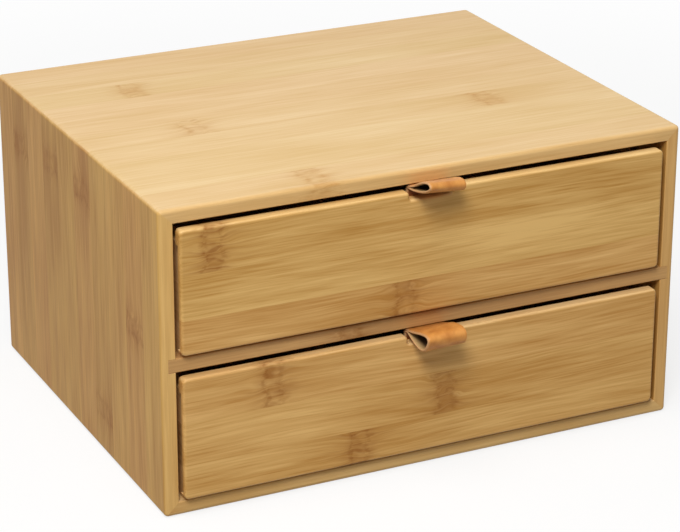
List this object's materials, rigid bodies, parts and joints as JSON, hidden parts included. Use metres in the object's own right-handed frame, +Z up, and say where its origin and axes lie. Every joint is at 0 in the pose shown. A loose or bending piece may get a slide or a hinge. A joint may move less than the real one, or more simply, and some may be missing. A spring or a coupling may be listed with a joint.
{
  "type": "tea bag drawer box",
  "caption": "Low bamboo tabletop chest with stacked inset drawers, each with a folded leather loop pull in a notch and a divider grid for tea bags.",
  "frame": {"origin": "centre of the case's underside, on the surface it stands on", "axes": "+X to the right seen from the front, +Y to the back, +Z up; the drawers open along -Y"},
  "size_m": [0.25, 0.2205, 0.14],
  "materials": {
    "case_bamboo": "pressed bamboo strips, sanded, clear matt lacquer",
    "drawer_bamboo": "pressed bamboo strips, sanded, clear matt lacquer",
    "strap_leather": "smooth vegetable-tanned leather, raw cut edges",
    "screw_steel": "zinc-plated"
  },
  "bodies": {
    "case": {"case_top": "case_bamboo", "case_bottom": "case_bamboo", "case_left_side": "case_bamboo", "case_right_side": "case_bamboo", "case_shelf": "case_bamboo", "case_back": "case_bamboo"},
    "upper_drawer": {"upper_drawer_front": "drawer_bamboo", "upper_drawer_left_side": "drawer_bamboo", "upper_drawer_right_side": "drawer_bamboo", "upper_drawer_back": "drawer_bamboo", "upper_drawer_bottom": "drawer_bamboo", "upper_cross_divider": "drawer_bamboo", "upper_left_divider": "drawer_bamboo", "upper_right_divider": "drawer_bamboo", "upper_pull_strap": "strap_leather", "upper_pull_screws": "screw_steel"},
    "lower_drawer": {"lower_drawer_front": "drawer_bamboo", "lower_drawer_left_side": "drawer_bamboo", "lower_drawer_right_side": "drawer_bamboo", "lower_drawer_back": "drawer_bamboo", "lower_drawer_bottom": "drawer_bamboo", "lower_cross_divider": "drawer_bamboo", "lower_left_divider": "drawer_bamboo", "lower_right_divider": "drawer_bamboo", "lower_pull_strap": "strap_leather", "lower_pull_screws": "screw_steel"}
  },
  "joints": [
    {"name": "upper_drawer_slide", "type": "slide", "parent": "case", "child": "upper_drawer", "axis": [0, -1, 0], "range_m": [0, 0.165]},
    {"name": "lower_drawer_slide", "type": "slide", "parent": "case", "child": "lower_drawer", "axis": [0, -1, 0], "range_m": [0, 0.165]}
  ]
}
